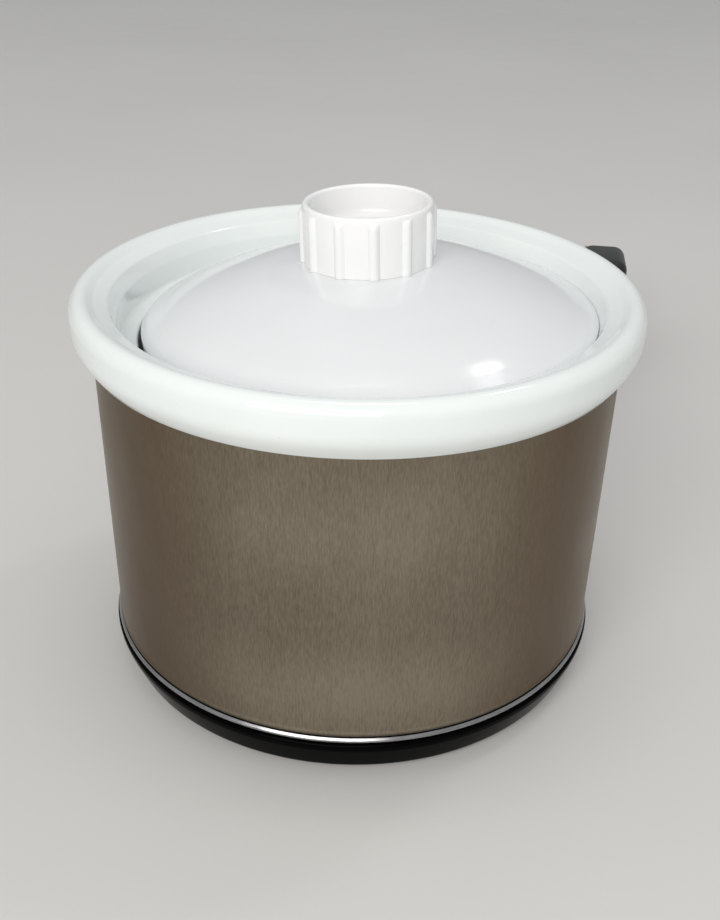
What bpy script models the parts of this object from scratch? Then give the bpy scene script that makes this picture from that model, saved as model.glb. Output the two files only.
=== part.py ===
"""A small round slow cooker: steel-wrapped heating base, lift-out stoneware crock and loose lid.

Axes: +Z up, the front at -Y, the power cord at +Y. The origin is the middle of the footprint, on the
surface that the feet stand on. Sizes below are in millimetres; MM turns them into the scene's metres.
"""

import math

import bmesh
import bpy
from mathutils import Vector

MM = 0.001
GAP = 0.3  # clearance between pieces that touch

# Driving dimensions
RIM_RADIUS = 70.0  # crock rim, the widest part
RIM_TOP = 101.0  # height of the crock rim over the table
RIM_DEPTH = 13.4  # height of the rolled rim's outer side
LEDGE_DEPTH = 12.35  # lid seat, below the rim
SHELL_TOP_RADIUS = 65.4
SHELL_BOTTOM_RADIUS = 64.7
SHELL_TOP = 88.6
SHELL_BOTTOM = 12.1
SHELL_WALL = 0.6
WELL_RADIUS = 58.2  # inside the heating well's straight wall
WELL_MOUTH_RADIUS = 62.2  # inside its wider mouth
WELL_WALL = 0.8
WELL_BOTTOM = 16.6
CROCK_BOTTOM = 19.0
BASE_TOP = 10.2
BASE_BOTTOM = 1.5
LID_RADIUS = 56.4
KNOB_RADIUS = 15.8
KNOB_RIBS = 12
KNOB_RIB_RADIUS = 0.85
KNOB_TURN = 4.8  # degrees that the first rib is turned from the front, towards +X
LID_SHIFT = 2.5  # the loose lid lies this far to +X in its seat
LID_PITCH = -0.2  # degrees about X: its front edge is up
LID_ROLL = -2.1  # degrees about Y: its +X edge is up
CORD_DIAMETER = 6.0
CORD_HEIGHT = 22.0  # cord exit over the table
COIL_CENTRE = (78.5, 201.6)
COIL_RADIUS = 33.0  # to the middle of its turns
COIL_LAYERS = 3
LAYER_STEP = 6.1  # from one turn up to the next
PLUG_YAW = -8.0  # degrees from +Y
PLUG_CENTRE = (109.7, 218.0)
PLUG_SIZE = (19.6, 28.0, 19.0)
BLADE_SIZE = (1.5, 15.0, 6.3)
FOOT_CIRCLE = 54.0
FOOT_COUNT = 4
VENT_COUNT = 8

STEPS = 36  # sides of the large turned pieces
SMALL_STEPS = 16


def collection(name):
    made = bpy.data.collections.new(name)
    bpy.context.scene.collection.children.link(made)
    return made


def material(name, colour, roughness, metallic=0.0):
    made = bpy.data.materials.new(name)
    made.use_nodes = True
    shader = made.node_tree.nodes["Principled BSDF"]
    shader.inputs["Base Color"].default_value = (*colour, 1.0)
    shader.inputs["Roughness"].default_value = roughness
    shader.inputs["Metallic"].default_value = metallic
    return made


def add_object(name, data, finish, place=(0, 0, 0), turn=(0, 0, 0), parent=None):
    """Puts mesh or curve data into the scene; place is in millimetres and turn in degrees."""
    made = bpy.data.objects.new(name, data)
    if finish:
        data.materials.append(finish)
        PART.objects.link(made)
    else:
        CUTTERS.objects.link(made)
        made.hide_render = True
        made.display_type = "WIRE"
    made.location = Vector(place) * MM
    made.rotation_euler = [math.radians(angle) for angle in turn]
    made.parent = parent
    return made


def rounded(corners):
    """Points along an outline of (radius, height, fillet) corners, with the fillets as arcs."""
    points = []
    last = len(corners) - 1
    for i, (x, z, fillet) in enumerate(corners):
        here = Vector((x, z))
        if fillet == 0 or i in (0, last):
            points.append(here)
            continue
        before = (Vector(corners[i - 1][:2]) - here).normalized()
        after = (Vector(corners[i + 1][:2]) - here).normalized()
        half = before.angle(after) / 2
        middle = here + (before + after).normalized() * fillet / math.sin(half)
        start = here + before * fillet / math.tan(half) - middle
        turn = start.angle_signed(here + after * fillet / math.tan(half) - middle)
        count = max(1, round(abs(math.degrees(turn)) / 45))
        for k in range(count + 1):
            angle = -turn * k / count
            swung = Vector(
                (
                    start.x * math.cos(angle) - start.y * math.sin(angle),
                    start.x * math.sin(angle) + start.y * math.cos(angle),
                )
            )
            points.append(middle + swung)
    return points


def turned(name, corners, finish, steps=STEPS, ring=False, **placing):
    """A solid of revolution about its local Z; a ring's outline is closed and never meets the axis."""
    points = rounded(corners)
    data = bpy.data.meshes.new(name)
    edges = [(i, i + 1) for i in range(len(points) - 1)]
    if ring:
        edges.append((len(points) - 1, 0))
    data.from_pydata([(p.x * MM, 0, p.y * MM) for p in points], edges, [])
    made = add_object(name, data, finish, **placing)
    screw = made.modifiers.new("Turn", "SCREW")
    screw.axis = "Z"
    screw.steps = steps
    screw.render_steps = steps
    screw.use_merge_vertices = True
    screw.merge_threshold = 0.00001
    screw.use_smooth_shade = True
    return made


def cylinder(name, radius, length, finish, sides=SMALL_STEPS, **placing):
    data = bpy.data.meshes.new(name)
    shape = bmesh.new()
    bmesh.ops.create_cone(
        shape,
        cap_ends=True,
        segments=sides,
        radius1=radius * MM,
        radius2=radius * MM,
        depth=length * MM,
    )
    shape.to_mesh(data)
    shape.free()
    return add_object(name, data, finish, **placing)


def block(name, size, finish, edge=0.0, **placing):
    data = bpy.data.meshes.new(name)
    shape = bmesh.new()
    bmesh.ops.create_cube(shape, size=1.0)
    bmesh.ops.scale(shape, vec=Vector(size) * MM, verts=shape.verts)
    shape.to_mesh(data)
    shape.free()
    made = add_object(name, data, finish, **placing)
    if edge:
        bevel = made.modifiers.new("Edges", "BEVEL")
        bevel.width = edge * MM
        bevel.segments = 2
    return made


def tube(name, points, diameter, finish, resolution=2):
    """A round tube of straight steps through points given in millimetres."""
    data = bpy.data.curves.new(name, "CURVE")
    data.dimensions = "3D"
    data.bevel_depth = diameter / 2 * MM
    data.bevel_resolution = resolution
    data.use_fill_caps = True
    spline = data.splines.new("POLY")
    spline.points.add(len(points) - 1)
    for target, point in zip(spline.points, points):
        target.co = (*(Vector(point) * MM), 1.0)
    return add_object(name, data, finish)


def cut(target, cutter, operation="DIFFERENCE"):
    boolean = target.modifiers.new(cutter.name, "BOOLEAN")
    boolean.operation = operation
    boolean.solver = "EXACT"
    boolean.object = cutter


def smooth_route(points, spacing):
    """Points about spacing apart on one smooth curve (Catmull-Rom) through the given points."""
    spots = [Vector(p) for p in points]
    spots = [2 * spots[0] - spots[1], *spots, 2 * spots[-1] - spots[-2]]
    route = []
    for a, b, c, d in zip(spots, spots[1:], spots[2:], spots[3:]):
        count = max(1, round((c - b).length / spacing))
        for k in range(count):
            t = k / count
            route.append(
                0.5
                * (
                    2 * b
                    + (c - a) * t
                    + (2 * a - 5 * b + 4 * c - d) * t**2
                    + (3 * b - a - 3 * c + d) * t**3
                )
            )
    route.append(spots[-2])
    return route


def around(angle, radius, height):
    """A point at an angle in degrees from +Y towards +X."""
    return (
        radius * math.sin(math.radians(angle)),
        radius * math.cos(math.radians(angle)),
        height,
    )


def coil_point(turns):
    """A point of the stored cord's coil, in turns anticlockwise from its side nearest the pot."""
    layer = math.floor(turns)
    climb = min(max((turns - layer - 0.70) / 0.24, 0.0), 1.0)
    height = CORD_DIAMETER / 2 + LAYER_STEP * (layer + climb * climb * (3 - 2 * climb))
    angle = math.tau * (turns - 0.25)
    return (
        COIL_CENTRE[0] + COIL_RADIUS * math.cos(angle),
        COIL_CENTRE[1] + COIL_RADIUS * math.sin(angle),
        height,
    )


def make_crock():
    """Stoneware pot: the outline runs from the middle of the inside, over the rim, to the bottom."""
    top = RIM_TOP
    return turned(
        "crock",
        [
            (0, CROCK_BOTTOM + 6, 0),
            (48.6, CROCK_BOTTOM + 6, 8),
            (51.4, top - 27.0, 4),
            (54.2, top - 18.5, 3),
            (54.8, top - LEDGE_DEPTH, 0.8),
            (58.7, top - LEDGE_DEPTH, 1.0),
            (60.9, top - 2.6, 1.2),
            (64.2, top - 1.3, 1.5),
            (67.4, top + 0.9, 2.6),
            (RIM_RADIUS, top - 2.2, 3.0),
            (RIM_RADIUS, top - 8.6, 6),
            (66.9, top - RIM_DEPTH, 0.6),
            (65.9, top - RIM_DEPTH, 0),
            (65.9, top - 11.0, 0),
            (61.4, top - 11.0, 0),
            (61.4, top - 19.0, 3),
            (56.4, top - 26.5, 4),
            (54.9, CROCK_BOTTOM + 1, 5),
            (50.0, CROCK_BOTTOM, 0),
            (46.0, CROCK_BOTTOM, 0),
            (45.0, CROCK_BOTTOM + 1, 0),
            (0, CROCK_BOTTOM + 1, 0),
        ],
        GLAZE,
    )


def make_lid(seat):
    """Lid, knob, screw and washer, all in the tilted frame of the seat at the height of the rim."""
    turned(
        "lid",
        [
            (1.9, 5.7, 0),
            (17.6, 5.7, 0),
            (30.0, 2.9, 40),
            (42.0, -1.15, 40),
            (51.2, -5.5, 3),
            (54.9, -7.0, 3),
            (LID_RADIUS, -8.4, 1),
            (LID_RADIUS, -10.6, 1),
            (55.4, -11.4, 0.5),
            (47.6, -11.4, 1.2),
            (47.2, -14.6, 1),
            (45.0, -14.6, 1),
            (44.2, -8.0, 4),
            (30.0, -1.9, 40),
            (17.0, 1.0, 10),
            (1.9, 1.0, 0),
        ],
        GLAZE,
        ring=True,
        parent=seat,
    )
    knob = turned(
        "lid_knob",
        [
            (0, 12.4, 0),
            (13.9, 12.4, 2),
            (14.2, 20.05, 0.6),
            (KNOB_RADIUS - 0.2, 20.05, 0.8),
            (KNOB_RADIUS, 6.0, 0),
            (KNOB_RADIUS - 2.2, 6.0, 0),
            (KNOB_RADIUS - 2.4, 9.8, 1),
            (5.0, 9.8, 1),
            (4.6, 6.0, 0),
            (1.8, 6.0, 0),
            (1.8, 10.9, 0),
            (0, 10.9, 0),
        ],
        KNOB_PLASTIC,
        steps=32,
        parent=seat,
    )
    for k in range(KNOB_RIBS):
        angle = -90 + KNOB_TURN + 360 * k / KNOB_RIBS
        rib = turned(
            f"rib_{k + 1}",
            [
                (0, 18.7, 0),
                (0.6, 18.4, 0),
                (KNOB_RIB_RADIUS, 17.7, 0),
                (KNOB_RIB_RADIUS, 6.0, 0),
                (0, 6.0, 0),
            ],
            None,
            steps=6,
            place=(
                KNOB_RADIUS * math.cos(math.radians(angle)),
                KNOB_RADIUS * math.sin(math.radians(angle)),
                0,
            ),
            parent=seat,
        )
        cut(knob, rib, "UNION")
    turned(
        "knob_screw",
        [(0, 10.4, 0), (1.5, 10.0, 0), (1.5, 0.1, 0), (3.4, 0.1, 0), (3.1, -1.3, 0), (0, -1.7, 0)],
        STEEL,
        steps=12,
        parent=seat,
    )
    turned(
        "knob_washer",
        [(5.5, 0.7, 0), (5.5, 0.4, 0), (1.9, 0.4, 0), (1.9, 0.7, 0)],
        STEEL,
        steps=SMALL_STEPS,
        ring=True,
        parent=seat,
    )


def make_housing():
    shell = turned(
        "outer_shell",
        [
            (SHELL_TOP_RADIUS, SHELL_TOP, 0),
            (SHELL_BOTTOM_RADIUS, SHELL_BOTTOM, 0),
            (SHELL_BOTTOM_RADIUS - SHELL_WALL, SHELL_BOTTOM, 0),
            (SHELL_TOP_RADIUS - SHELL_WALL, SHELL_TOP, 0),
        ],
        BRUSHED_STEEL,
        steps=STEPS,
        ring=True,
    )
    hole = cylinder("cord_hole", 5.3, 20, None, place=(0, 65, CORD_HEIGHT), turn=(90, 0, 0))
    cut(shell, hole)

    flange = SHELL_TOP + GAP
    turned(
        "heating_well",
        [
            (0, WELL_BOTTOM + WELL_WALL, 0),
            (WELL_RADIUS, WELL_BOTTOM + WELL_WALL, 5),
            (WELL_RADIUS, 73.5, 2),
            (WELL_MOUTH_RADIUS, 78.5, 2),
            (WELL_MOUTH_RADIUS, flange + WELL_WALL, 0),
            (SHELL_TOP_RADIUS - 0.1, flange + WELL_WALL, 0),
            (SHELL_TOP_RADIUS - 0.1, flange, 0),
            (WELL_MOUTH_RADIUS + WELL_WALL, flange, 0),
            (WELL_MOUTH_RADIUS + WELL_WALL, 78.2, 2),
            (WELL_RADIUS + WELL_WALL, 73.2, 2),
            (WELL_RADIUS + WELL_WALL, WELL_BOTTOM, 5.8),
            (0, WELL_BOTTOM, 0),
        ],
        ALUMINIUM,
    )
    turned(
        "base_trim_ring",
        [
            (64.9, SHELL_BOTTOM - GAP, 0.3),
            (65.5, 11.2, 0.5),
            (65.2, BASE_TOP + GAP, 0),
            (64.0, BASE_TOP + GAP, 0),
            (64.0, SHELL_BOTTOM - GAP, 0),
        ],
        BRIGHT_TRIM,
        ring=True,
    )


def make_base():
    base = turned(
        "base_moulding",
        [
            (2.6, 8.5, 0),
            (14.0, 8.5, 0),
            (15.6, 5.0, 0),
            (60.6, 5.0, 0),
            (62.3, 8.0, 0),
            (62.3, 15.0, 0),
            (63.7, 15.0, 0),
            (63.7, BASE_TOP, 0),
            (65.9, BASE_TOP, 0.6),
            (65.6, 8.2, 0),
            (63.3, 2.3, 0),
            (62.9, BASE_BOTTOM, 0),
            (61.2, BASE_BOTTOM, 0),
            (60.8, 3.0, 0),
            (13.0, 3.0, 0),
            (12.0, 6.5, 0),
            (2.6, 6.5, 0),
        ],
        BLACK_PLASTIC,
        ring=True,
    )
    for k in range(VENT_COUNT):
        x, y, z = around(360 * k / VENT_COUNT, 36.0, 4.0)
        vent = cylinder(f"vent_{k + 1}", 2.6, 12, None, sides=8, place=(x, y, z), turn=(0, 0, 11))
        cut(base, vent)
    for k in range(FOOT_COUNT):
        x, y, z = around(45 + 360 * k / FOOT_COUNT, FOOT_CIRCLE, 4.0)
        hole = cylinder(f"foot_hole_{k + 1}", 2.4, 12, None, 12, place=(x, y, z), turn=(0, 0, 7))
        cut(base, hole)
        turned(
            f"foot_{k + 1}",
            [
                (0, 6.9, 0),
                (1.8, 6.9, 0),
                (2.9, 5.3, 0),
                (2.0, 5.3, 0),
                (2.0, 2.7, 0),
                (5.6, 2.7, 0),
                (5.2, 0, 0),
                (0, 0, 0),
            ],
            RUBBER,
            steps=12,
            place=(x, y, 0),
        )


def make_heater():
    """Band heater clamped round the well, with its insulation and wiring at the back."""
    band = turned(
        "heating_band",
        [(60.5, 62, 0), (60.5, 32, 0), (59.3, 32, 0), (59.3, 62, 0)],
        MICA,
        ring=True,
    )
    cut(band, block("band_gap", (11, 20, 60), None, place=(0, 60, 47)))
    wrap = turned(
        "insulation_wrap",
        [(63.2, 62, 0), (63.2, 32, 0), (60.9, 32, 0), (60.9, 62, 0)],
        GLASS_FIBRE,
        ring=True,
    )
    cut(wrap, block("wrap_gap", (74, 30, 60), None, place=(0, 62, 47)))
    block("band_clamp", (16, 1.0, 10), STEEL, place=(0, 61.6, 49))
    cylinder("clamp_screw", 1.8, 1.2, STEEL, sides=12, place=(0, 63.05, 49), turn=(90, 0, 0))

    for side, name in ((-1, "terminal_left"), (1, "terminal_right")):
        x, y, z = around(17 * side, 61.6, 40)
        block(name, (5, 1.0, 9), BRASS, place=(x, y, z), turn=(0, 0, -17 * side))
    fuse_angle = 25.0
    x, y, z = around(fuse_angle, 62.4, 39.0)
    cylinder("thermal_fuse", 1.4, 12, BRASS, sides=12, place=(x, y, z))

    neutral = [
        (-2, 60.5, 22),
        (-3.5, 60.4, 27.4),
        (-7, 61.7, 29.6),
        (-13, 61.9, 30.4),
        (-17, 61.6, 32.4),
        (-17, 61.6, 35.2),
    ]
    live = [
        (2, 60.5, 22),
        (3.5, 60.4, 27.4),
        (9, 61.7, 28.9),
        (19, 62.2, 28.6),
        (25, 62.4, 30.0),
        (25, 62.4, 32.7),
    ]
    fuse = [
        (25, 62.4, 45.3),
        (24.6, 62.4, 48.2),
        (21, 62.3, 50.2),
        (17.4, 62.0, 48.2),
        (17, 61.6, 44.8),
    ]
    for name, points, finish in (
        ("neutral_lead", neutral, WHITE_WIRE),
        ("live_lead", live, BLACK_WIRE),
        ("fuse_lead", fuse, WHITE_WIRE),
    ):
        tube(name, smooth_route([around(*p) for p in points], 2.5), 1.6, finish)


def make_fixings():
    """The central stud that pulls the base up against the well, with what it passes through."""
    turned(
        "heat_shield",
        [(51.0, 11.6, 0), (51.0, 11.0, 0), (2.6, 11.0, 0), (2.6, 11.6, 0)],
        ALUMINIUM,
        ring=True,
    )
    for name, outer, inner, top, bottom in (
        ("upper_spacer", 4.2, 2.6, 16.3, 11.9),
        ("lower_spacer", 4.2, 2.6, 10.7, 8.8),
        ("stud_washer", 5.0, 2.4, 6.2, 5.5),
    ):
        outline = [(outer, top, 0), (outer, bottom, 0), (inner, bottom, 0), (inner, top, 0)]
        turned(name, outline, STEEL, steps=SMALL_STEPS, ring=True)
    cylinder("centre_stud", 2.0, 14.3, STEEL, sides=12, place=(0, 0, 9.15))
    nut = cylinder("stud_nut", 4.0, 2.8, STEEL, sides=6, place=(0, 0, 3.8))
    cut(nut, cylinder("nut_bore", 2.3, 10, None, sides=12, place=(0, 0, 4)))


def make_strain_relief():
    """Turned about its own Z, which points along the cord's way out, +Y."""
    relief = [
        (0, 35.0, 0),
        (3.7, 35.0, 0),
        (5.0, 3.6, 0),
        (7.2, 3.4, 0),
        (7.2, 1.4, 0),
        (5.0, 1.4, 0),
        (5.0, -0.9, 0),
        (6.2, -0.9, 0),
        (6.2, -2.6, 0),
        (0, -2.6, 0),
    ]
    return turned(
        "strain_relief",
        relief,
        RUBBER,
        steps=SMALL_STEPS,
        place=(0, 64.4, CORD_HEIGHT),
        turn=(-90, 0, 0),
    )


# The free cord's own points, from the strain relief's tip down to the table and into the coil
CORD_ROUTE = [
    (0.0, 99.7, 22.0),
    (0.3, 109.0, 21.6),
    (1.4, 118.5, 19.2),
    (4.0, 128.3, 14.2),
    (8.6, 137.6, 8.8),
    (15.4, 146.2, 5.0),
    (24.5, 154.0, 3.3),
    (35.8, 160.6, 3.0),
    (48.5, 165.4, 3.0),
    (58.0, 167.5, 3.0),
]
# From the top of the coil round to the plug
TAIL_ROUTE = [
    (87.7, 170.1, 21.7),
    (96.1, 174.4, 22.6),
    (102.3, 181.2, 24.8),
    (105.7, 190.6, 27.2),
]
TAIL_LIFT = 0.4  # of the tail's start off the ring that stands in for the turns below it


def make_cord():
    ring_top = CORD_DIAMETER + LAYER_STEP * (COIL_LAYERS - 1)
    turned(
        "cord_coil",
        [
            (COIL_RADIUS + CORD_DIAMETER / 2, ring_top, 1.5),
            (COIL_RADIUS + CORD_DIAMETER / 2, 0, 1.5),
            (COIL_RADIUS - CORD_DIAMETER / 2, 0, 0),
            (COIL_RADIUS - CORD_DIAMETER / 2, ring_top, 0),
        ],
        CORD_RUBBER,
        steps=32,
        ring=True,
        place=(*COIL_CENTRE, 0),
    )
    tube("power_cord", smooth_route(CORD_ROUTE, 6.0), CORD_DIAMETER, CORD_RUBBER)
    heading = math.radians(PLUG_YAW)
    forward = Vector((-math.sin(heading), math.cos(heading), 0))
    side = Vector((forward.y, -forward.x, 0))
    nose = PLUG_SIZE[1] / 2
    centre = Vector((*PLUG_CENTRE, ring_top + GAP + PLUG_SIZE[2] / 2))
    rear = centre - forward * (nose + 5 + GAP)
    last_turn = [coil_point(turns) for turns in (2.94, 2.97, 3.0)]
    lifted = [(x, y, z + TAIL_LIFT) for x, y, z in last_turn]
    tail_route = smooth_route([*lifted, *TAIL_ROUTE, rear], 6.0)
    tube("cord_tail", tail_route, CORD_DIAMETER, CORD_RUBBER)
    plug = block("plug_body", PLUG_SIZE, CORD_RUBBER, 4.0, place=centre, turn=(0, 0, PLUG_YAW))
    tail = turned(
        "plug_tail",
        [(0, nose + 5, 0), (3.9, nose + 5, 0), (5.2, 10.0, 0), (0, 10.0, 0)],
        None,
        steps=SMALL_STEPS,
        place=centre,
        turn=(90, 0, PLUG_YAW),
    )
    cut(plug, tail, "UNION")
    for sign, name in ((-1, "plug_blade_left"), (1, "plug_blade_right")):
        place = centre + forward * (nose + GAP + BLADE_SIZE[1] / 2) + side * 6.35 * sign
        block(name, BLADE_SIZE, BRASS, edge=0.4, place=place, turn=(0, 0, PLUG_YAW))


for old in list(bpy.data.objects):
    bpy.data.objects.remove(old, do_unlink=True)

PART = collection("slow_cooker")
CUTTERS = collection("cutters")
GLAZE = material("white_glaze", (0.82, 0.85, 0.84), 0.12)
KNOB_PLASTIC = material("white_knob", (0.88, 0.88, 0.87), 0.25)
BRUSHED_STEEL = material("brushed_steel", (0.42, 0.39, 0.34), 0.38, 1.0)
BRIGHT_TRIM = material("bright_trim", (0.75, 0.75, 0.76), 0.15, 1.0)
BLACK_PLASTIC = material("black_plastic", (0.012, 0.012, 0.013), 0.2)
ALUMINIUM = material("aluminium_sheet", (0.62, 0.63, 0.64), 0.4, 1.0)
STEEL = material("zinc_plated_steel", (0.55, 0.55, 0.56), 0.35, 1.0)
BRASS = material("brass_parts", (0.72, 0.55, 0.28), 0.35, 1.0)
RUBBER = material("black_rubber", (0.02, 0.02, 0.02), 0.7)
CORD_RUBBER = material("cord_jacket", (0.014, 0.014, 0.015), 0.5)
MICA = material("heater_mica", (0.35, 0.28, 0.2), 0.6)
GLASS_FIBRE = material("glass_fibre", (0.8, 0.77, 0.68), 0.95)
WHITE_WIRE = material("white_wire", (0.8, 0.8, 0.78), 0.5)
BLACK_WIRE = material("black_wire", (0.02, 0.02, 0.02), 0.5)

lid_seat = bpy.data.objects.new("lid_seat", None)
lid_seat.location = Vector((LID_SHIFT, 0, RIM_TOP)) * MM
lid_seat.rotation_euler = (math.radians(LID_PITCH), math.radians(LID_ROLL), 0)
PART.objects.link(lid_seat)

make_crock()
make_lid(lid_seat)
make_housing()
make_base()
make_heater()
make_fixings()
make_strain_relief()
make_cord()
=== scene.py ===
"""Looks for the small slow cooker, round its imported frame.

The frame's own sizes set the places here. Lengths are in millimetres until MM turns them into the
scene's metres. +Z is up, the front is at -Y and the power cord leaves at +Y.
"""

import math

import bmesh
import bpy
from mathutils import Matrix, Vector


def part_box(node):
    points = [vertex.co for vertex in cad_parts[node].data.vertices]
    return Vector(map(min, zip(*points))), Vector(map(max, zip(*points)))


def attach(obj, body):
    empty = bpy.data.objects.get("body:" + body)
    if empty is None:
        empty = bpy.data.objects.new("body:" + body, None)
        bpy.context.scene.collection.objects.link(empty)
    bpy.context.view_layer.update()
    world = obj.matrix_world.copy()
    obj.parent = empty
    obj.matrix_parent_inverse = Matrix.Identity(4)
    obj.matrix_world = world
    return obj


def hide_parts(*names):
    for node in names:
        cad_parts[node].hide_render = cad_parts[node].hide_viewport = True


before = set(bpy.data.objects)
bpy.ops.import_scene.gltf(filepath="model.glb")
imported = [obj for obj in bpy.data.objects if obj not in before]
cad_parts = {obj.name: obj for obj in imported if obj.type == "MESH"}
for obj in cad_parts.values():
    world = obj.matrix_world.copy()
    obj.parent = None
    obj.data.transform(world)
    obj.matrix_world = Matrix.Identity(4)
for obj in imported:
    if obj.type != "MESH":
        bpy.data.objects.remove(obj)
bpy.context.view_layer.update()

MM = 0.001

# Places that the CAD part states, in millimetres
RIM_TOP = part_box("crock")[1].z / MM
RIM_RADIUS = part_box("crock")[1].x / MM
CROCK_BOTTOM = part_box("crock")[0].z / MM
LEDGE_DEPTH = 12.35  # lid seat, below the rim
SHELL_TOP_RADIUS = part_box("outer_shell")[1].x / MM
SHELL_BOTTOM_RADIUS = SHELL_TOP_RADIUS - 0.7
SHELL_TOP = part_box("outer_shell")[1].z / MM
SHELL_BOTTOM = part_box("outer_shell")[0].z / MM
WELL_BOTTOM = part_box("heating_well")[0].z / MM
BASE_TOP = 10.2  # the shoulder that the shell and its trim ring stand over
BASE_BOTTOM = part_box("base_moulding")[0].z / MM
LID_RADIUS = 56.4
LID_SEAT = Vector((2.5, 0, RIM_TOP))  # the loose lid lies off centre
LID_TURN = (-0.2, -2.1, 0.0)  # degrees: its front and its +X side are up
LID_DOME = [  # (radius, height over the rim) from under the knob to the flange
    (17.6, 5.7),
    (24.0, 4.5),
    (30.0, 2.9),
    (36.0, 0.95),
    (42.0, -1.2),
    (47.4, -3.4),
    (51.2, -5.35),
]
KNOB_RADIUS = 15.8
KNOB_CUP_RADIUS = 14.2
KNOB_RIBS = 12
KNOB_RIB_RADIUS = 0.85
KNOB_FOOT = 5.75  # over the rim, just clear of the lid
RIB_TOP = 18.8
KNOB_TURN = 4.8  # degrees that the first rib is turned from the front, towards +X
CORD_DIAMETER = 6.0
CORD_HEIGHT = 22.0
COIL_CENTRE = (78.5, 201.6)
COIL_RADIUS = 33.0
LAYER_STEP = 6.1
COIL_TURNS = 3.0
PLUG_CENTRE = Vector((109.7, 218.0, 28.0))
PLUG_SIZE = (19.6, 28.0, 19.0)
PLUG_YAW = -8.0
BLADE_SIZE = (1.5, 15.0, 6.3)

FINE = 192  # sides of the large turned pieces
SHARP = 34  # degrees between faces, over which an edge stays sharp
CORD_HOLE_RADIUS = 5.3
DRILL_LENGTH = 20.0  # more than any wall that a hole goes through
BLADE_SPACING = 12.7  # between the middles of the two blades

CAMERA_PLACE = Vector((0, -259.2, 194.7))
CAMERA_LENS = 43.24
CAMERA_PITCH = 0.508  # radians down from level
CAMERA_YAW = 0.005  # radians from +Y towards +X
CAMERA_ROLL = 0.022  # radians about its own line of sight


# ---------------------------------------------------------------- camera and cord


def place_camera():
    """A camera over the pot's front, looking down at it."""
    data = bpy.data.cameras.new("camera")
    data.lens = CAMERA_LENS
    data.clip_start = 0.01
    data.clip_end = 20
    made = bpy.data.objects.new("camera", data)
    bpy.context.scene.collection.objects.link(made)
    forward = Vector((math.sin(CAMERA_YAW), math.cos(CAMERA_YAW), 0))
    ahead = math.cos(CAMERA_PITCH) * forward - Vector((0, 0, math.sin(CAMERA_PITCH)))
    level = Vector((math.cos(CAMERA_YAW), -math.sin(CAMERA_YAW), 0))
    upright = level.cross(ahead)
    right = math.cos(CAMERA_ROLL) * level + math.sin(CAMERA_ROLL) * upright
    up = math.cos(CAMERA_ROLL) * upright - math.sin(CAMERA_ROLL) * level
    aim = Matrix((right, up, -ahead)).transposed().to_4x4()
    made.matrix_world = Matrix.Translation(CAMERA_PLACE * MM) @ aim
    bpy.context.scene.camera = made


def coil_point(turns):
    """A point of the stored cord's coil, in turns anticlockwise from its side nearest the pot."""
    layer = math.floor(turns)
    climb = min(max((turns - layer - 0.70) / 0.24, 0.0), 1.0)
    height = CORD_DIAMETER / 2 + LAYER_STEP * (layer + climb * climb * (3 - 2 * climb))
    angle = math.tau * (turns - 0.25)
    return Vector(
        (
            COIL_CENTRE[0] + COIL_RADIUS * math.cos(angle),
            COIL_CENTRE[1] + COIL_RADIUS * math.sin(angle),
            height,
        )
    )


# The cord's way in millimetres: out of the strain relief, down to the table, to the coil and, after
# the coil, round to the back of the plug
CORD_ROUTE = [
    (0.0, 98.0, 22.0),
    (0.3, 109.0, 21.6),
    (1.4, 118.5, 19.2),
    (4.0, 128.3, 14.2),
    (8.6, 137.6, 8.8),
    (15.4, 146.2, 5.0),
    (24.5, 154.0, 3.3),
    (35.8, 160.6, 3.0),
    (48.5, 165.4, 3.0),
    (58.0, 167.5, 3.0),
]
TAIL_ROUTE = [
    (87.7, 170.1, 21.7),
    (96.1, 174.4, 22.6),
    (102.3, 181.2, 24.8),
    (105.7, 190.6, 27.2),
    (107.4, 201.5, 28.0),
]
POINTS_PER_TURN = 16


def lay_cord():
    """The free cord, as one smooth curve."""
    wound = [coil_point(k / POINTS_PER_TURN) for k in range(round(COIL_TURNS * POINTS_PER_TURN) + 1)]
    route = [Vector(p) for p in CORD_ROUTE] + wound + [Vector(p) for p in TAIL_ROUTE]
    data = bpy.data.curves.new("mains_cord", "CURVE")
    data.dimensions = "3D"
    data.bevel_depth = 1.0  # so that each knot's radius is the cord's own, in metres
    data.bevel_resolution = 6
    data.resolution_u = 8
    data.use_fill_caps = True
    spline = data.splines.new("BEZIER")
    spline.bezier_points.add(len(route) - 1)
    for knot, point in zip(spline.bezier_points, route):
        knot.co = point * MM
        knot.radius = CORD_DIAMETER / 2 * MM
        knot.handle_left_type = "AUTO"
        knot.handle_right_type = "AUTO"
    made = bpy.data.objects.new("mains_cord", data)
    bpy.context.scene.collection.objects.link(made)
    return made


# ---------------------------------------------------------------- shapes


def add_piece(name, data, body, material, nodes, place=(0, 0, 0), turn=(0, 0, 0)):
    """A piece at a place in millimetres and a turn in degrees, riding on a body."""
    made = bpy.data.objects.new(name, data)
    bpy.context.scene.collection.objects.link(made)
    made.location = Vector(place) * MM
    made.rotation_euler = [math.radians(angle) for angle in turn]
    data.materials.append(material)
    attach(made, body)
    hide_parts(*nodes)
    return made


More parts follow.
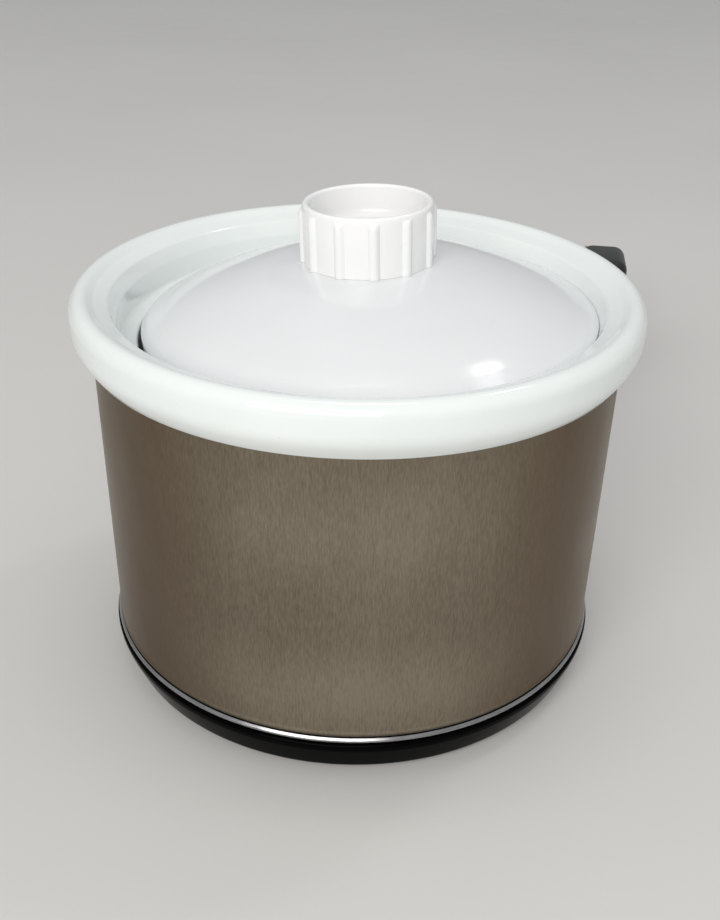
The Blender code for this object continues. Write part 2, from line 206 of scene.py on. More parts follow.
def rounded(corners, step=11):
    """Points along an outline of (radius, height, fillet) corners, with a point every step degrees."""
    points = []
    last = len(corners) - 1
    for i, (x, z, fillet) in enumerate(corners):
        here = Vector((x, z))
        if fillet == 0 or i in (0, last):
            points.append(here)
            continue
        before = (Vector(corners[i - 1][:2]) - here).normalized()
        after = (Vector(corners[i + 1][:2]) - here).normalized()
        half = before.angle(after) / 2
        middle = here + (before + after).normalized() * fillet / math.sin(half)
        start = here + before * fillet / math.tan(half) - middle
        turn = start.angle_signed(here + after * fillet / math.tan(half) - middle)
        count = max(2, round(abs(math.degrees(turn)) / step))
        for k in range(count + 1):
            angle = -turn * k / count
            points.append(
                middle
                + Vector(
                    (
                        start.x * math.cos(angle) - start.y * math.sin(angle),
                        start.x * math.sin(angle) + start.y * math.cos(angle),
                    )
                )
            )
    return points


def smooth_run(points, parts=6):
    """Outline points along a smooth curve through the given ones, so many parts between each two."""
    knots = [Vector(p) for p in points]
    slopes = [(after - before) / 2 for before, after in zip(knots[:1] + knots, knots[1:] + knots[-1:])]
    run = []
    for i in range(len(knots) - 1):
        for k in range(parts):
            t = k / parts
            spot = knots[i] * (2 * t**3 - 3 * t**2 + 1) + slopes[i] * (t**3 - 2 * t**2 + t)
            spot += knots[i + 1] * (3 * t**2 - 2 * t**3) + slopes[i + 1] * (t**3 - t**2)
            run.append((spot.x, spot.y, 0))
    return [*run, (*knots[-1], 0)]


def turned_mesh(name, outline, steps=FINE, ring=False, shape=None):
    """A closed mesh turned about Z.

    shape(angle, radius, height) gives a point's own radius and height.
    """
    shape = shape or (lambda angle, radius, height: (radius, height))
    points = [(p.x, p.y) for p in outline]
    mesh = bmesh.new()
    rings = []
    for radius, height in points:
        if radius < 1e-6:
            rings.append([mesh.verts.new((0, 0, height * MM))])
            continue
        circle = []
        for k in range(steps):
            angle = math.tau * k / steps
            r, z = shape(angle, radius, height)
            circle.append(mesh.verts.new((r * math.sin(angle) * MM, -r * math.cos(angle) * MM, z * MM)))
        rings.append(circle)
    pairs = list(zip(rings, rings[1:]))
    if ring:
        pairs.append((rings[-1], rings[0]))
    for upper, lower in pairs:
        for k in range(steps):
            n = (k + 1) % steps
            if len(upper) == 1:
                mesh.faces.new((upper[0], lower[k], lower[n]))
            elif len(lower) == 1:
                mesh.faces.new((upper[k], lower[0], upper[n]))
            else:
                mesh.faces.new((upper[k], lower[k], lower[n], upper[n]))
    bmesh.ops.recalc_face_normals(mesh, faces=mesh.faces)
    return finished_mesh(name, mesh)


def finished_mesh(name, mesh, sharp=SHARP):
    """Mesh data from a bmesh, smooth but for edges sharper than so many degrees."""
    data = bpy.data.meshes.new(name)
    mesh.to_mesh(data)
    mesh.free()
    data.shade_smooth()
    data.set_sharp_from_angle(angle=math.radians(sharp))
    return data


def block_mesh(name, size, edge, segments):
    """A block with its middle at the origin and its edges rounded."""
    mesh = bmesh.new()
    bmesh.ops.create_cube(mesh, size=1.0)
    bmesh.ops.scale(mesh, vec=Vector(size) * MM, verts=mesh.verts)
    bmesh.ops.bevel(
        mesh,
        geom=mesh.edges[:],
        offset=edge * MM,
        segments=segments,
        profile=0.5,
        affect="EDGES",
    )
    return finished_mesh(name, mesh, sharp=50)


def cutter(name, data, place, turn):
    """An unseen object that a Boolean takes away."""
    made = bpy.data.objects.new(name, data)
    made.location = Vector(place) * MM
    made.rotation_euler = [math.radians(angle) for angle in turn]
    bpy.context.scene.collection.objects.link(made)
    return made


def drill(name, radius, sides, place, turn):
    """A round cutter about its own Z, with its middle at its place."""
    mesh = bmesh.new()
    bmesh.ops.create_cone(
        mesh,
        cap_ends=True,
        segments=sides,
        radius1=radius * MM,
        radius2=radius * MM,
        depth=DRILL_LENGTH * MM,
    )
    return cutter(name, finished_mesh(name, mesh), place, turn)


def take_away(target, tools):
    """Cuts the tools out of the target's own mesh, and drops them."""
    for tool in tools:
        boolean = target.modifiers.new("cut", "BOOLEAN")
        boolean.object = tool
        boolean.solver = "EXACT"
    bpy.context.view_layer.update()
    seen = target.evaluated_get(bpy.context.evaluated_depsgraph_get())
    cut = bpy.data.meshes.new_from_object(seen)
    target.modifiers.clear()
    target.data = cut
    for tool in tools:
        bpy.data.objects.remove(tool, do_unlink=True)
    cut.shade_smooth()
    cut.set_sharp_from_angle(angle=math.radians(SHARP))


# ---------------------------------------------------------------- materials


class Finish:
    """A Principled material, and the texture nodes that feed it."""

    def __init__(self, name, **constants):
        self.material = bpy.data.materials.new(name)
        self.material.use_nodes = True
        self.tree = self.material.node_tree
        self.shader = self.tree.nodes["Principled BSDF"]
        for key, value in constants.items():
            self.shader.inputs[key.replace("_", " ")].default_value = value
        self.place = self.tree.nodes.new("ShaderNodeTexCoord").outputs["Object"]
        self.height = None

    def node(self, kind, **values):
        made = self.tree.nodes.new("ShaderNode" + kind)
        for key, value in values.items():
            setattr(made, key, value)
        return made

    def feed(self, socket, value):
        if isinstance(value, bpy.types.NodeSocket):
            self.tree.links.new(value, socket)
        else:
            socket.default_value = value

    def noise(self, scale, detail=3.0, roughness=0.5, distortion=0.0):
        """Noise with so many lumps a metre: one number, or one for each axis."""
        place = self.place
        if not isinstance(scale, (int, float)):
            stretched = self.node("VectorMath", operation="MULTIPLY")
            self.feed(stretched.inputs[0], place)
            stretched.inputs[1].default_value = scale
            place = stretched.outputs[0]
            scale = 1.0
        made = self.node("TexNoise")
        self.feed(made.inputs["Vector"], place)
        made.inputs["Scale"].default_value = scale
        made.inputs["Detail"].default_value = detail
        made.inputs["Roughness"].default_value = roughness
        made.inputs["Distortion"].default_value = distortion
        return made.outputs["Fac"]

    def cells(self, scale):
        """The distance to the nearest of scattered points, so many a metre."""
        made = self.node("TexVoronoi")
        self.feed(made.inputs["Vector"], self.place)
        made.inputs["Scale"].default_value = scale
        return made.outputs["Distance"]

    def spread(self, value, low, high, start=0.0, end=1.0, smooth=False):
        """value from low..high, as start..end; smooth eases both ends."""
        made = self.node("MapRange", interpolation_type="SMOOTHSTEP" if smooth else "LINEAR")
        for socket, number in zip(made.inputs, (value, low, high, start, end)):
            self.feed(socket, number)
        return made.outputs["Result"]

    def calc(self, operation, a, b=0.0):
        made = self.node("Math", operation=operation)
        self.feed(made.inputs[0], a)
        self.feed(made.inputs[1], b)
        return made.outputs[0]

    def axis(self, letter):
        """A coordinate of the piece's own space, in millimetres."""
        parts = self.node("SeparateXYZ")
        self.feed(parts.inputs[0], self.place)
        return self.calc("MULTIPLY", parts.outputs[letter], 1 / MM)

    def out_from_axis(self):
        """The distance from the piece's own Z axis, in millimetres."""
        squares = [self.calc("MULTIPLY", self.axis(letter), self.axis(letter)) for letter in "XY"]
        return self.calc("SQRT", self.calc("ADD", *squares))

    def mix(self, share, first, second):
        """From one colour to another."""
        made = self.node("Mix", data_type="RGBA")
        self.feed(made.inputs[0], share)
        for socket, colour in ((made.inputs[6], first), (made.inputs[7], second)):
            self.feed(socket, colour if isinstance(colour, bpy.types.NodeSocket) else (*colour, 1.0))
        return made.outputs[2]

    def colour(self, value):
        self.feed(self.shader.inputs["Base Color"], value)

    def rough(self, value):
        self.feed(self.shader.inputs["Roughness"], value)

    def bump(self, height, depth):
        """Raises the surface by up to depth millimetres, over any bump given before."""
        made = self.node("Bump")
        made.inputs["Strength"].default_value = 1.0
        made.inputs["Distance"].default_value = depth * MM
        self.feed(made.inputs["Height"], height)
        if self.height is not None:
            self.feed(made.inputs["Normal"], self.height)
        self.height = made.outputs["Normal"]
        self.feed(self.shader.inputs["Normal"], self.height)


def glaze(name, light, dark, foot_height=None):
    """Gloss glaze on stoneware: slow waves, faint clouding and a few specks.

    Below foot_height it is bare fired clay.
    """
    made = Finish(name, IOR=1.52, Coat_Weight=0.35, Coat_Roughness=0.03)
    cloud = made.spread(made.noise(34, 3, 0.55, 0.4), 0.3, 0.7)
    tint = made.mix(cloud, light, dark)
    specks = made.calc("LESS_THAN", made.cells(170), 0.035)
    tint = made.mix(made.calc("MULTIPLY", specks, 0.22), tint, (0.42, 0.40, 0.36))
    rough = made.spread(made.noise(60, 4), 0.25, 0.75, 0.07, 0.13)
    if foot_height is not None:
        edge = made.calc("ADD", made.axis("Z"), made.spread(made.noise(220, 2), 0, 1, -0.5, 0.5))
        bare = made.spread(edge, foot_height - 0.1, foot_height + 0.1, 1, 0)
        grit = made.mix(made.noise(900, 4, 0.7), (0.62, 0.54, 0.43), (0.78, 0.71, 0.60))
        tint = made.mix(bare, tint, grit)
        rough = made.calc("MAXIMUM", rough, made.calc("MULTIPLY", bare, 0.8))
        made.bump(made.calc("MULTIPLY", made.noise(1600, 3), bare), 0.08)
    made.colour(tint)
    made.rough(rough)
    made.bump(made.noise(38, 1), 0.22)
    made.bump(made.noise(420, 2), 0.008)
    return made.material


def moulded_white():
    """Smooth white plastic with a little flow in its gloss, and painted shade greying the knob's cup.
    """
    made = Finish("white_moulding", IOR=1.5, Coat_Weight=0.15, Coat_Roughness=0.08)
    cloud = made.spread(made.noise(70, 3), 0.3, 0.7)
    tint = made.mix(cloud, (0.93, 0.93, 0.93), (0.90, 0.905, 0.91))
    # Painted shade: the cup inside the knob's rim is greyed, standing in for the shade in its recess.
    inside = made.spread(made.out_from_axis(), KNOB_CUP_RADIUS - 0.2, KNOB_CUP_RADIUS + 0.1, 1.0, 0.0)
    made.colour(made.mix(made.calc("MULTIPLY", inside, 0.8), tint, (0.79, 0.79, 0.79)))
    made.rough(made.spread(made.noise((180, 180, 40), 4), 0.3, 0.7, 0.14, 0.24))
    made.bump(made.noise(120, 2), 0.02)
    made.bump(made.noise(2600, 2), 0.002)
    return made.material


def brushed_steel():
    """Sheet steel brushed up and down.

    Fine streaks and soft clouds of tone, two painted highlights across its front, painted brown
    reflections at its sides.
    """
    made = Finish("brushed_steel", Metallic=1.0, Anisotropic=0.55)
    grain = made.noise((2900, 2900, 430), 4, 0.6)
    streak = made.noise((700, 700, 60), 3, 0.6)
    cloud = made.noise((24, 24, 14), 3, 0.5, 0.8)
    tone = made.spread(grain, 0.25, 0.75, -0.7, 0.7)
    tone = made.calc("ADD", tone, made.spread(streak, 0.3, 0.7, -0.12, 0.12))
    tone = made.calc("ADD", tone, made.spread(cloud, 0.3, 0.7, -0.3, 0.3))
    across = made.calc("ABSOLUTE", made.axis("X"))
    # Painted reflection: browner towards each side, standing in for the brown surroundings that the
    # steel mirrors there.
    reflection_rise = made.spread(across, 22, 52, smooth=True)
    # Painted highlights: the front is lightened in two soft bands, 68 and 23 mm up, standing in for
    # reflected light.
    front = made.spread(across, 8, 48, 1.0, 0.0, smooth=True)
    for height, gain in ((68, 0.5), (23, 0.9)):
        away = made.calc("ABSOLUTE", made.calc("SUBTRACT", made.axis("Z"), height))
        painted_gleam = made.spread(away, 0, 20, gain, 0.0, smooth=True)
        tone = made.calc("ADD", tone, made.calc("MULTIPLY", painted_gleam, front))
    tint = made.mix(made.spread(tone, -1, 1), (0.132, 0.107, 0.076), (0.30, 0.26, 0.20))
    reflection_fall = made.spread(across, 50, 65, 1.0, 0.4, smooth=True)
    painted_reflection_band = made.calc("MULTIPLY", reflection_rise, reflection_fall)
    made.colour(made.mix(made.calc("MULTIPLY", painted_reflection_band, 0.7), tint, (0.108, 0.062, 0.028)))
    smear = made.noise((40, 40, 22), 4, 0.6, 1.2)
    rough = made.spread(grain, 0.25, 0.75, 0.28, 0.40)
    made.rough(made.calc("ADD", rough, made.spread(smear, 0.4, 0.75, 0.0, 0.08)))
    made.bump(grain, 0.012)
    made.bump(streak, 0.006)
    tangent = made.node("Tangent", direction_type="RADIAL", axis="Z")
    made.feed(made.shader.inputs["Tangent"], tangent.outputs[0])
    return made.material


def metal(name, dark, light, rough, grain, depth):
    """Bare metal with its own grain, faint handling marks and an uneven gloss."""
    made = Finish(name, Metallic=1.0)
    marks = made.noise(grain, 4, 0.6)
    made.colour(made.mix(made.spread(marks, 0.3, 0.7), dark, light))
    blotch = made.spread(made.noise(110, 4, 0.6, 0.8), 0.3, 0.75, -0.04, 0.08)
    made.rough(made.calc("ADD", made.spread(marks, 0.3, 0.7, rough * 0.85, rough * 1.2), blotch))
    made.bump(marks, depth)
    return made.material


def spun_aluminium():
    """Aluminium sheet spun on a lathe, with rings left by the tool."""
    made = Finish("spun_aluminium", Metallic=1.0, Anisotropic=0.4)
    along = made.calc("ADD", made.out_from_axis(), made.axis("Z"))
    lathe = made.node("TexNoise", noise_dimensions="1D")
    made.feed(lathe.inputs["W"], along)
    lathe.inputs["Scale"].default_value = 1.5
    lathe.inputs["Detail"].default_value = 5
    rings = lathe.outputs["Fac"]
    stain = made.spread(made.noise(45, 4, 0.6, 1.0), 0.45, 0.8, 0.0, 0.6)
    bright = made.mix(made.spread(rings, 0.3, 0.7), (0.62, 0.63, 0.64), (0.74, 0.745, 0.75))
    made.colour(made.mix(stain, bright, (0.58, 0.55, 0.49)))
    made.rough(made.spread(rings, 0.3, 0.7, 0.28, 0.42))
    made.bump(rings, 0.01)
    return made.material


def black_moulding():
    """Gloss black plastic with orange-peel skin, a breath of dust and scuffs at its lower edge."""
    made = Finish("black_moulding", Specular_IOR_Level=0.02)
    dust = made.spread(made.noise(160, 5, 0.7), 0.55, 0.8, 0.0, 0.35)
    scuff = made.calc("GREATER_THAN", made.noise((260, 260, 1100), 5, 0.75), 0.66)
    low = made.spread(made.axis("Z"), BASE_BOTTOM + 0.2, BASE_BOTTOM + 2.6, 1.0, 0.0)
    worn = made.calc("MULTIPLY", scuff, low)
    tint = made.mix(dust, (0.0012, 0.0012, 0.0013), (0.0035, 0.0035, 0.0036))
    made.colour(made.mix(worn, tint, (0.05, 0.05, 0.048)))
    rough = made.spread(made.noise(300, 4), 0.3, 0.7, 0.12, 0.2)
    made.rough(made.calc("ADD", rough, made.calc("MULTIPLY", worn, 0.3)))
    made.bump(made.noise(950, 2), 0.006)
    made.bump(made.noise(60, 1), 0.05)
    return made.material


def rubber(name, dark, light, rough, grain=1500):
    """Soft black moulding or jacket: a fine pebbled skin, and paler where it is handled."""
    made = Finish(name, IOR=1.5, Sheen_Weight=0.08, Sheen_Roughness=0.4)
    cloud = made.spread(made.noise(130, 4, 0.6), 0.35, 0.7)
    made.colour(made.mix(cloud, dark, light))
    made.rough(made.spread(made.noise(grain, 3), 0.3, 0.7, rough - 0.06, rough + 0.08))
    made.bump(made.noise(grain, 3, 0.6), 0.02)
    return made.material


def mottled(name, dark, light, rough, scale, depth):
    """A matt surface of uneven tone, such as mica board or wire insulation."""
    made = Finish(name)
    patches = made.noise(scale, 5, 0.65)
    made.colour(made.mix(made.spread(patches, 0.3, 0.7), dark, light))
    made.rough(made.spread(patches, 0.3, 0.7, rough - 0.08, rough + 0.08))
    made.bump(patches, depth)
    return made.material


def glass_cloth():
    """Woven glass fibre: a plain weave round the pot, slightly yellowed by heat."""
    made = Finish("glass_cloth", Sheen_Weight=0.3)
    weave = []
    for axis in ("X", "Y", "Z"):
        wave = made.calc("SINE", made.calc("MULTIPLY", made.axis(axis), math.tau / 1.4))
        weave.append(wave)
    threads = made.calc("MULTIPLY", made.calc("MAXIMUM", weave[0], weave[1]), weave[2])
    scorch = made.spread(made.noise(60, 4), 0.4, 0.75)
    cloth = made.mix(made.spread(threads, -1, 1), (0.62, 0.57, 0.46), (0.84, 0.81, 0.72))
    made.colour(made.mix(scorch, cloth, (0.66, 0.56, 0.40)))
    made.rough(made.spread(threads, -1, 1, 0.95, 0.8))
    made.bump(threads, 0.15)
    return made.material


def studio_floor():
    """A pale matt board with a slow, faint cloud in its tone."""
    made = Finish("studio_floor")
    cloud = made.spread(made.noise(3.0, 3), 0.3, 0.7)
    made.colour(made.mix(cloud, (0.66, 0.65, 0.63), (0.70, 0.69, 0.67)))
    made.rough(made.spread(made.noise(40, 4), 0.3, 0.7, 0.5, 0.62))
    made.bump(made.noise(1200, 3), 0.02)
    return made.material


GLAZE = glaze("white_glaze", (0.85, 0.892, 0.878), (0.815, 0.866, 0.85), CROCK_BOTTOM + 1.6)
LID_GLAZE = glaze("lid_glaze", (0.80, 0.815, 0.825), (0.77, 0.785, 0.795))
KNOB_WHITE = moulded_white()
STEEL_SHEET = brushed_steel()
CHROME = metal("bright_trim", (0.27, 0.27, 0.275), (0.37, 0.37, 0.375), 0.2, (300, 300, 1600), 0.001)
ZINC = metal("zinc_plate", (0.5, 0.5, 0.52), (0.68, 0.68, 0.69), 0.32, (500, 500, 500), 0.004)
BRASS = metal("brass", (0.6, 0.43, 0.19), (0.78, 0.6, 0.32), 0.26, (2000, 300, 2000), 0.003)
SPUN = spun_aluminium()
BLACK = black_moulding()
FOOT_RUBBER = rubber("foot_rubber", (0.02, 0.02, 0.02), (0.035, 0.034, 0.033), 0.7)
CORD_SKIN = rubber("cord_skin", (0.006, 0.006, 0.0063), (0.011, 0.011, 0.0113), 0.46)
PLUG_SKIN = rubber("plug_skin", (0.004, 0.004, 0.0042), (0.007, 0.007, 0.0073), 0.5, 2200)
MICA = mottled("mica_board", (0.26, 0.19, 0.12), (0.46, 0.37, 0.25), 0.55, 240, 0.05)
WIRE_WHITE = mottled("white_wire", (0.72, 0.71, 0.67), (0.86, 0.855, 0.83), 0.45, 300, 0.01)
WIRE_BLACK = mottled("black_wire", (0.014, 0.014, 0.014), (0.03, 0.03, 0.03), 0.45, 300, 0.01)
GLASS_CLOTH = glass_cloth()


# ---------------------------------------------------------------- pieces


def make_crock():
    """The pot: its inside, the lid's seat, the rolled rim, its outside and its foot ring."""
    top = RIM_TOP
    outline = rounded(
        [
            (0, CROCK_BOTTOM + 6, 0),
            (48.6, CROCK_BOTTOM + 6, 9),
            (51.4, top - 27.0, 5),
            (54.2, top - 18.5, 4),
            (54.4, top - LEDGE_DEPTH, 0.9),
            (58.5, top - LEDGE_DEPTH, 1.0),
            (59.2, top - 6.4, 2.5),
            (60.8, top - 2.6, 1.1),
            (64.2, top - 1.3, 1.3),
            (67.4, top + 0.9, 2.6),
            (RIM_RADIUS, top - 2.2, 3.4),
            (RIM_RADIUS, top - 8.6, 6.4),
            (66.9, top - 13.4, 0.8),
            (65.9, top - 13.4, 0.3),
            (65.9, top - 11.0, 0),
            (61.4, top - 11.0, 0.5),
            (61.4, top - 19.0, 3.5),
            (56.4, top - 26.5, 5),
            (54.9, CROCK_BOTTOM + 1, 6),
            (50.0, CROCK_BOTTOM, 0.4),
            (46.0, CROCK_BOTTOM, 0.4),
            (45.0, CROCK_BOTTOM + 1, 0.4),
            (0, CROCK_BOTTOM + 1, 0),
        ]
    )
    data = turned_mesh("crock_glazed", outline)
    add_piece("crock_glazed", data, "crock", GLAZE, ["crock"])


def make_lid():
    """The lid: its dome and flange, then its locating ring and its hollow underside."""
    outline = rounded(
        [
            (1.9, 5.7, 0),
            *smooth_run(LID_DOME),
            (54.9, -7.0, 3),
            (LID_RADIUS, -8.4, 1),
            (LID_RADIUS, -10.6, 1),
            (55.4, -11.4, 0.5),
            (47.6, -11.4, 1.2),
            (47.2, -14.6, 1),
            (45.0, -14.6, 1),
            (44.2, -8.0, 4),
            (30.0, -1.9, 40),
            (17.0, 1.0, 10),
            (1.9, 1.0, 0),
        ],
        step=5,
    )
    data = turned_mesh("lid_glazed", outline, ring=True)
    add_piece("lid_glazed", data, "lid", LID_GLAZE, ["lid"], LID_SEAT, LID_TURN)


def ribbed(angle, radius, height):
    """The knob's wall, raised into round-topped ribs."""
    if radius < KNOB_RADIUS - 0.5 or not KNOB_FOOT - 0.1 < height < RIB_TOP + 0.1:
        return radius, height
    pitch = math.tau / KNOB_RIBS
    off = (angle - math.radians(KNOB_TURN) + pitch / 2) % pitch - pitch / 2
    across = abs(off) * KNOB_RADIUS / (KNOB_RIB_RADIUS * 1.5)
    top = min(max((RIB_TOP - height) / 1.5, 0.0), 1.0)
    top = math.sqrt(1 - (1 - top) ** 2)
    rise = math.cos(across * math.pi / 2) ** 0.7 if across < 1 else 0.0
    return radius + KNOB_RIB_RADIUS * rise * top, height


def make_knob():
    """The knob: a cup with a ribbed wall, hollow below."""
    # Close rows, so that the ribs' tops come out round
    wall = [(KNOB_RADIUS, RIB_TOP + 0.05 - 0.16 * k, 0) for k in range(11)]
    outline = rounded(
        [
            (0, 12.4, 0),
            (KNOB_CUP_RADIUS - 0.3, 12.4, 2),
            (KNOB_CUP_RADIUS, 20.05, 0.7),
            (KNOB_RADIUS - 0.2, 20.05, 0.75),
            *wall,
            (KNOB_RADIUS, 12.0, 0),
            (KNOB_RADIUS, KNOB_FOOT + 0.3, 0),
            (KNOB_RADIUS, KNOB_FOOT, 0),
            (KNOB_RADIUS - 2.2, KNOB_FOOT, 0),
            (KNOB_RADIUS - 2.4, 9.8, 1),
            (5.0, 9.8, 1),
            (4.6, KNOB_FOOT, 0),
            (1.8, KNOB_FOOT, 0),
            (1.8, 10.9, 0),
            (0, 10.9, 0),
        ]
    )
    data = turned_mesh("knob_ribbed", outline, steps=KNOB_RIBS * 30, shape=ribbed)
    add_piece("knob_ribbed", data, "lid", KNOB_WHITE, ["lid_knob"], LID_SEAT, LID_TURN)


def make_shell():
    """The steel wrapper, with a rolled bead at its foot and a hole for the cord."""
    outline = rounded(
        [
            (SHELL_TOP_RADIUS, SHELL_TOP, 0.2),
            (SHELL_TOP_RADIUS - 0.35, (SHELL_TOP + SHELL_BOTTOM) / 2, 0),
            (SHELL_BOTTOM_RADIUS, SHELL_BOTTOM + 1.6, 0.4),
            (SHELL_BOTTOM_RADIUS + 0.25, SHELL_BOTTOM + 0.9, 0.3),
            (SHELL_BOTTOM_RADIUS, SHELL_BOTTOM, 0),
            (SHELL_BOTTOM_RADIUS - 0.6, SHELL_BOTTOM, 0),
            (SHELL_TOP_RADIUS - 0.6, SHELL_TOP, 0),
        ],
        step=20,
    )

    def seamed(angle, radius, height):
        """The sheet's ends lap at the back, beside the cord."""
        off = math.degrees(angle) - 192
        return radius + (0.3 if 0 <= off <= 6 else 0.0), height

    data = turned_mesh("steel_wrapper", outline, ring=True, shape=seamed)
    made = add_piece("steel_wrapper", data, "housing", STEEL_SHEET, ["outer_shell"])
    place = (0, SHELL_BOTTOM_RADIUS, CORD_HEIGHT)
    take_away(made, [drill("cord_hole", CORD_HOLE_RADIUS, 48, place, (90, 0, 0))])


def make_trim():
    """The bright ring between the wrapper and the base."""
    outline = rounded(
        [
            (64.9, SHELL_BOTTOM - 0.3, 0.35),
            (65.5, 11.2, 0.5),
            (65.2, BASE_TOP + 0.3, 0.1),
            (64.0, BASE_TOP + 0.3, 0),
            (64.0, SHELL_BOTTOM - 0.3, 0),
        ]
    )
    data = turned_mesh("bright_ring", outline, ring=True)
    add_piece("bright_ring", data, "housing", CHROME, ["base_trim_ring"])


def make_base():
    """The black pan under the pot."""
    outline = rounded(
        [
            (2.6, 8.5, 0),
            (14.0, 8.5, 0.6),
            (15.6, 5.0, 0.6),
            (60.6, 5.0, 0.8),
            (62.3, 8.0, 0.6),
            (62.3, 15.0, 0),
            (63.7, 15.0, 0),
            (63.7, BASE_TOP, 0),
            (65.9, BASE_TOP, 0.7),
            (65.6, 8.2, 1.0),
            (63.3, 2.3, 0.8),
            (62.9, BASE_BOTTOM, 0.4),
            (61.2, BASE_BOTTOM, 0.3),
            (60.8, 3.0, 0.4),
            (13.0, 3.0, 0.4),
            (12.0, 6.5, 0.4),
            (2.6, 6.5, 0),
        ],
        step=15,
    )
    data = turned_mesh("black_base", outline, ring=True)
    made = add_piece("black_base", data, "housing", BLACK, ["base_moulding"])
    holes = []
    # Eight vents, and four holes for the feet's pegs
    for count, first, circle, radius in ((8, 0, 36.0, 2.6), (4, 45, 54.0, 2.4)):
        for k in range(count):
            angle = math.radians(first + 360 * k / count)
            place = (circle * math.sin(angle), circle * math.cos(angle), 4.0)
            holes.append(drill(f"drill_{count}_{k}", radius, 32, place, (0, 0, 3)))
    take_away(made, holes)


def make_well():
    """The spun pan that the crock drops into, with its flange over the wrapper's edge."""
    flange = SHELL_TOP + 0.3
    outline = rounded(
        [
            (0, WELL_BOTTOM + 0.8, 0),
            (58.2, WELL_BOTTOM + 0.8, 5),
            (58.2, 73.5, 2),
            (62.2, 78.5, 2),
            (62.2, flange + 0.8, 0.6),
            (SHELL_TOP_RADIUS - 0.1, flange + 0.8, 0.3),
            (SHELL_TOP_RADIUS - 0.1, flange, 0.3),
            (63.0, flange, 0),
            (63.0, 78.2, 2),
            (59.0, 73.2, 2),
            (59.0, WELL_BOTTOM, 5.8),
            (0, WELL_BOTTOM, 0),
        ]
    )
    data = turned_mesh("spun_well", outline)
    add_piece("spun_well", data, "housing", SPUN, ["heating_well"])


def make_feet():
    """Four rubber feet, each with a barbed peg that holds it in the base."""
    outline = rounded(
        [
            (0, 6.9, 0),
            (1.8, 6.9, 0.3),
            (2.9, 5.3, 0.2),
            (2.0, 5.3, 0),
            (2.0, 2.7, 0),
            (5.6, 2.7, 0.4),
            (5.2, 0, 0.7),
            (3.6, 0, 0.3),
            (3.2, 0.5, 0.3),
            (0, 0.5, 0),
        ],
        step=20,
    )
    for k in range(4):
        name = f"foot_{k + 1}"
        low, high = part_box(name)
        middle = (low + high) / 2 / MM
        data = turned_mesh(f"rubber_{name}", outline, steps=40)
        place = (middle.x, middle.y, 0)
        add_piece(f"rubber_{name}", data, "housing", FOOT_RUBBER, [name], place)


def make_strain_relief():
    """A tapered sleeve of flexing rings, about its own Z, which points along the cord's way out."""
    rings = 6
    sleeve = []
    for k in range(rings):
        outer = 5.0 - 1.15 * (k + 0.5) / rings
        start = 5.2 + 4.6 * k
        sleeve += [(outer + 0.25, start + 0.6, 0.5), (outer + 0.2, start + 3.0, 0.5)]
        sleeve += [(outer - 0.75, start + 3.4, 0.2), (outer - 0.8, start + 4.3, 0.2)]
    outline = rounded(
        [
            (0, 35.0, 0),
            (3.6, 35.0, 0.5),
            *reversed(sleeve),
            (5.1, 3.6, 0.3),
            (7.2, 3.4, 0.5),
            (7.2, 1.4, 0.3),
            (5.0, 1.4, 0),
            (5.0, -0.9, 0),
            (6.2, -0.9, 0.2),
            (6.2, -2.6, 0.3),
            (0, -2.6, 0),
        ],
        step=30,
    )
    data = turned_mesh("relief_sleeve", outline, steps=64)
    place = (0, 64.4, CORD_HEIGHT)
    turn = (-90, 0, 0)
    nodes = ["strain_relief"]
    return add_piece("relief_sleeve", data, "housing", CORD_SKIN, nodes, place, turn)


def make_plug():
    """The plug on the coil: a rounded body with finger grips, its sleeve and two flat blades."""
    body = block_mesh("plug", PLUG_SIZE, 5.2, 8)
    turn = (0, 0, PLUG_YAW)
    plug = add_piece("plug", body, "housing", PLUG_SKIN, ["plug_body"], PLUG_CENTRE, turn)
    heading = Matrix.Rotation(math.radians(PLUG_YAW), 4, "Z")

    def at(x, y, z):
        return PLUG_CENTRE + heading @ Vector((x, y, z))

    grooves = []
    for side in (-1, 1):
        for k in range(4):
            slot_data = block_mesh("grip", (1.6, 1.3, 9.0), 0.4, 3)
            place = at(side * (PLUG_SIZE[0] / 2 + 0.2), -7 + 3.4 * k, 0)
            grooves.append(cutter(f"grip_{side}_{k}", slot_data, place, turn))
    take_away(plug, grooves)

    sleeve = []
    for k in range(3):
        outer = 5.0 - 0.35 * k
        start = 13.2 + 1.9 * k
        sleeve += [(outer, start, 0.2), (outer - 0.05, start + 1.1, 0.2)]
        sleeve += [(outer - 0.6, start + 1.2, 0), (outer - 0.6, start + 1.8, 0)]
    corners = [(0, 19.2, 0), (3.8, 19.2, 0.4), *reversed(sleeve), (5.2, 10.0, 0), (0, 10.0, 0)]
    data = turned_mesh("plug_sleeve", rounded(corners, step=30), steps=48)
    rear = add_piece(
        "plug_sleeve", data, "housing", PLUG_SKIN, [], PLUG_CENTRE, (90, 0, PLUG_YAW)
    )
    pieces = [plug, rear]
    for side, node_name in ((-1, "plug_blade_left"), (1, "plug_blade_right")):
        name = f"brass_{node_name}"
        data = block_mesh(name, BLADE_SIZE, 0.45, 3)
        across = side * BLADE_SPACING / 2
        place = at(across, PLUG_SIZE[1] / 2 + 0.1 + BLADE_SIZE[1] / 2, 0)
        blade = add_piece(name, data, "housing", BRASS, [node_name], place, turn)
        spot = at(across, PLUG_SIZE[1] / 2 + BLADE_SIZE[1] - 3.4, 0)
        take_away(blade, [drill("blade_hole", 1.4, 24, spot, (0, 90, PLUG_YAW))])
        pieces.append(blade)
    return pieces


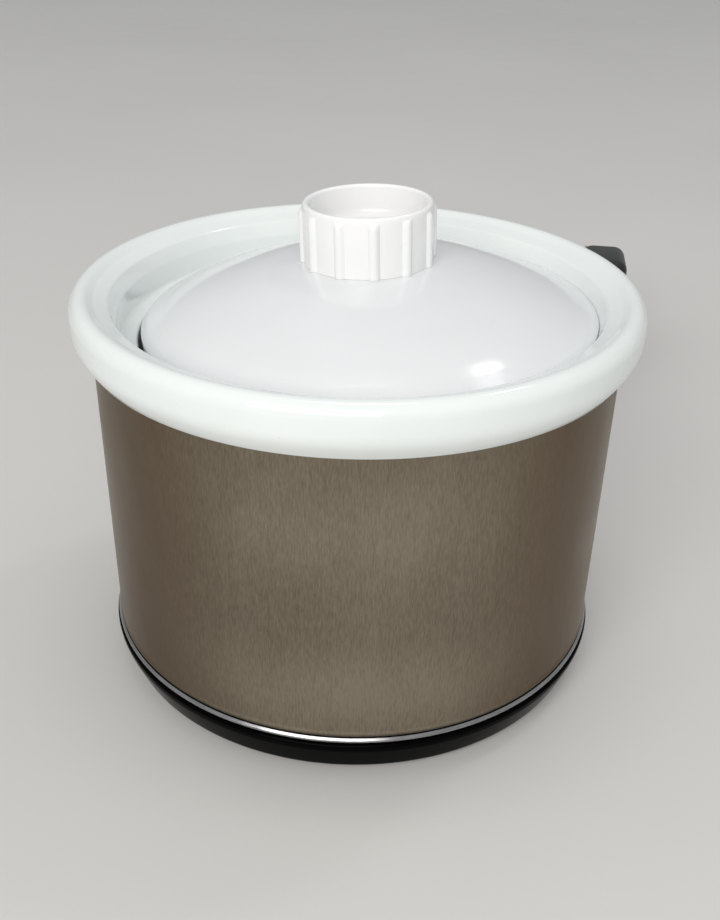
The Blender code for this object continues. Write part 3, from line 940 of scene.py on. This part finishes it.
def finish_cad_nodes():
    """The pieces whose CAD shape is right keep it, under a better material."""
    for material, names in (
        (MICA, ["heating_band"]),
        (GLASS_CLOTH, ["insulation_wrap"]),
        (
            ZINC,
            [
                "band_clamp",
                "clamp_screw",
                "knob_screw",
                "knob_washer",
                "upper_spacer",
                "lower_spacer",
                "centre_stud",
                "stud_washer",
                "stud_nut",
            ],
        ),
        (BRASS, ["terminal_left", "terminal_right", "thermal_fuse"]),
        (SPUN, ["heat_shield"]),
        (WIRE_WHITE, ["neutral_lead", "fuse_lead"]),
        (WIRE_BLACK, ["live_lead"]),
    ):
        for name in names:
            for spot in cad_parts[name].material_slots:
                spot.material = material


# ---------------------------------------------------------------- floor and light


def make_floor():
    """A plain floor, twelve metres across."""
    mesh = bmesh.new()
    bmesh.ops.create_grid(mesh, x_segments=4, y_segments=4, size=6.0)
    data = bpy.data.meshes.new("floor")
    mesh.to_mesh(data)
    mesh.free()
    floor = bpy.data.objects.new("floor", data)
    bpy.context.scene.collection.objects.link(floor)
    data.materials.append(studio_floor())


def area_light(name, place, target, size, power, colour=(1, 1, 1), shape="RECTANGLE"):
    """A soft light; place and target are in metres."""
    data = bpy.data.lights.new(name, "AREA")
    data.shape = shape
    data.size, data.size_y = size
    data.energy = power
    data.color = colour
    made = bpy.data.objects.new(name, data)
    made.location = place
    made.rotation_euler = (Vector(target) - Vector(place)).to_track_quat("-Z", "Y").to_euler()
    bpy.context.scene.collection.objects.link(made)


def studio_world():
    """A white room: brightest overhead and dimmer towards the horizon."""
    world = bpy.data.worlds.new("studio")
    bpy.context.scene.world = world
    world.use_nodes = True
    tree = world.node_tree
    place = tree.nodes.new("ShaderNodeTexCoord")
    parts = tree.nodes.new("ShaderNodeSeparateXYZ")
    tree.links.new(place.outputs["Generated"], parts.inputs[0])
    height = tree.nodes.new("ShaderNodeMapRange")
    height.interpolation_type = "SMOOTHSTEP"
    height.inputs["From Min"].default_value = -0.1
    height.inputs["From Max"].default_value = 0.8
    tree.links.new(parts.outputs["Z"], height.inputs["Value"])
    blend = tree.nodes.new("ShaderNodeMix")
    blend.data_type = "RGBA"
    tree.links.new(height.outputs["Result"], blend.inputs[0])
    blend.inputs[6].default_value = (0.74, 0.75, 0.76, 1)
    blend.inputs[7].default_value = (0.88, 0.89, 0.90, 1)
    background = tree.nodes["Background"]
    tree.links.new(blend.outputs[2], background.inputs["Color"])
    background.inputs["Strength"].default_value = 0.6


def light_studio():
    studio_world()
    middle = (0, 0, 0.06)
    area_light("front", (-0.3, -1.15, 0.85), middle, (1.1, 0.7), 12.5, (1.0, 0.975, 0.945))
    area_light("lamp", (0.604, 0.406, 1.29), (0.02, -0.04, 0.1), (0.15, 0.15), 0.9, (1, 1, 1), "DISK")
    area_light("glow", (0.605, 0.407, 1.295), (0.02, -0.04, 0.1), (0.28, 0.28), 0.25, (1, 1, 1), "DISK")
    area_light("strip", (0, 0.05, 1.35), middle, (0.5, 0.14), 1.1, (1, 1, 1))
    bpy.context.scene.view_settings.view_transform = "Standard"


place_camera()
cord = lay_cord()
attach(cord, "housing")
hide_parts("power_cord", "cord_coil", "cord_tail")
cord.data.materials.append(CORD_SKIN)

make_crock()
make_lid()
make_knob()
make_shell()
make_trim()
make_base()
make_well()
make_feet()
relief = make_strain_relief()
on_cord = [relief, *make_plug()]
finish_cad_nodes()
make_floor()
light_studio()

bpy.context.view_layer.update()
